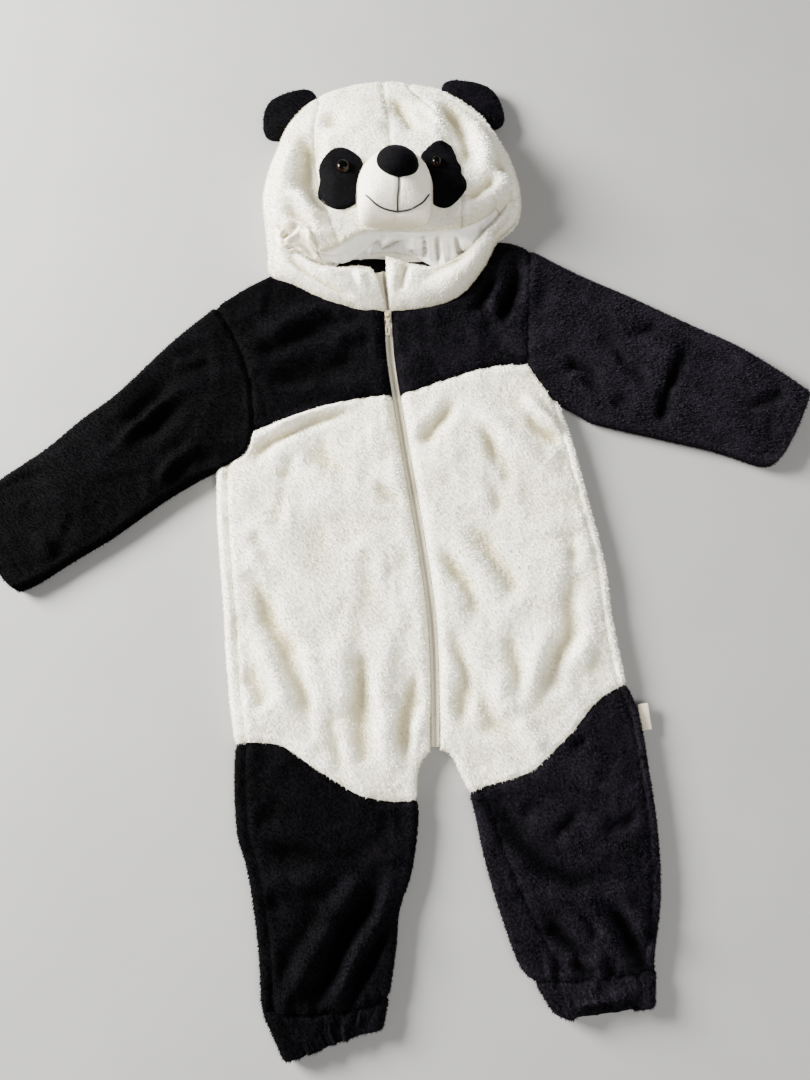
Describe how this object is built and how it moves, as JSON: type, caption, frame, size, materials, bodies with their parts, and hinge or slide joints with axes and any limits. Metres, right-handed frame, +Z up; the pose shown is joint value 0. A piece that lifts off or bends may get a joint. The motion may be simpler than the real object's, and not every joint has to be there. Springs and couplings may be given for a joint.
{
  "type": "hooded onesie",
  "caption": "Child's hooded panda onesie in black and ivory plush, laid flat, with a front zip, a padded animal face on the hood and gathered ankle cuffs.",
  "frame": {"origin": "centre of the laid out garment's outline, on the surface it lies on", "axes": "+Y from the ankles to the hood, +X to the wearer's left arm as it lies face up, +Z up from the surface"},
  "size_m": [0.872, 1.0111, 0.0956],
  "materials": {
    "ivory_plush": "short ivory pile, matte",
    "black_plush": "short black pile with a soft sheen",
    "white_satin": "smooth white lining, semi gloss",
    "zip_tape": "woven beige tape with a nylon coil",
    "zip_metal": "enamelled beige",
    "eye_plastic": "brown with a black pupil, polished",
    "label_tape": "woven cream tape, blank"
  },
  "bodies": {
    "garment": {"chin_left": "ivory_plush", "chin_right": "ivory_plush", "hood_side_left": "ivory_plush", "hood_face_left": "ivory_plush", "hood_face_right": "ivory_plush", "hood_side_right": "ivory_plush", "hood_back": "ivory_plush", "muzzle_left": "ivory_plush", "muzzle_right": "ivory_plush", "belly_front_left": "ivory_plush", "belly_back_left": "ivory_plush", "belly_front_right": "ivory_plush", "belly_back_right": "ivory_plush", "eye_patch_left": "black_plush", "eye_patch_right": "black_plush", "nose": "black_plush", "ear_left": "black_plush", "ear_right": "black_plush", "yoke_back": "black_plush", "yoke_front_left": "black_plush", "yoke_front_right": "black_plush", "sleeve_left": "black_plush", "sleeve_right": "black_plush", "ankle_cuff_left": "black_plush", "ankle_cuff_right": "black_plush", "leg_front_left": "black_plush", "leg_back_left": "black_plush", "leg_front_right": "black_plush", "leg_back_right": "black_plush", "hood_lining": "white_satin", "zip_tape_left": "zip_tape", "zip_tape_right": "zip_tape", "zip_slider": "zip_metal", "eye_left": "eye_plastic", "eye_right": "eye_plastic", "side_label": "label_tape"},
    "zip_pull": {"zip_pull": "zip_metal"}
  },
  "joints": [
    {"name": "zip_pull_hinge", "type": "hinge", "parent": "garment", "child": "zip_pull", "pos_m": [-0.00669, 0.21129, 0.0144], "axis": [-1, 0, 0], "range_deg": [0, 110]}
  ]
}
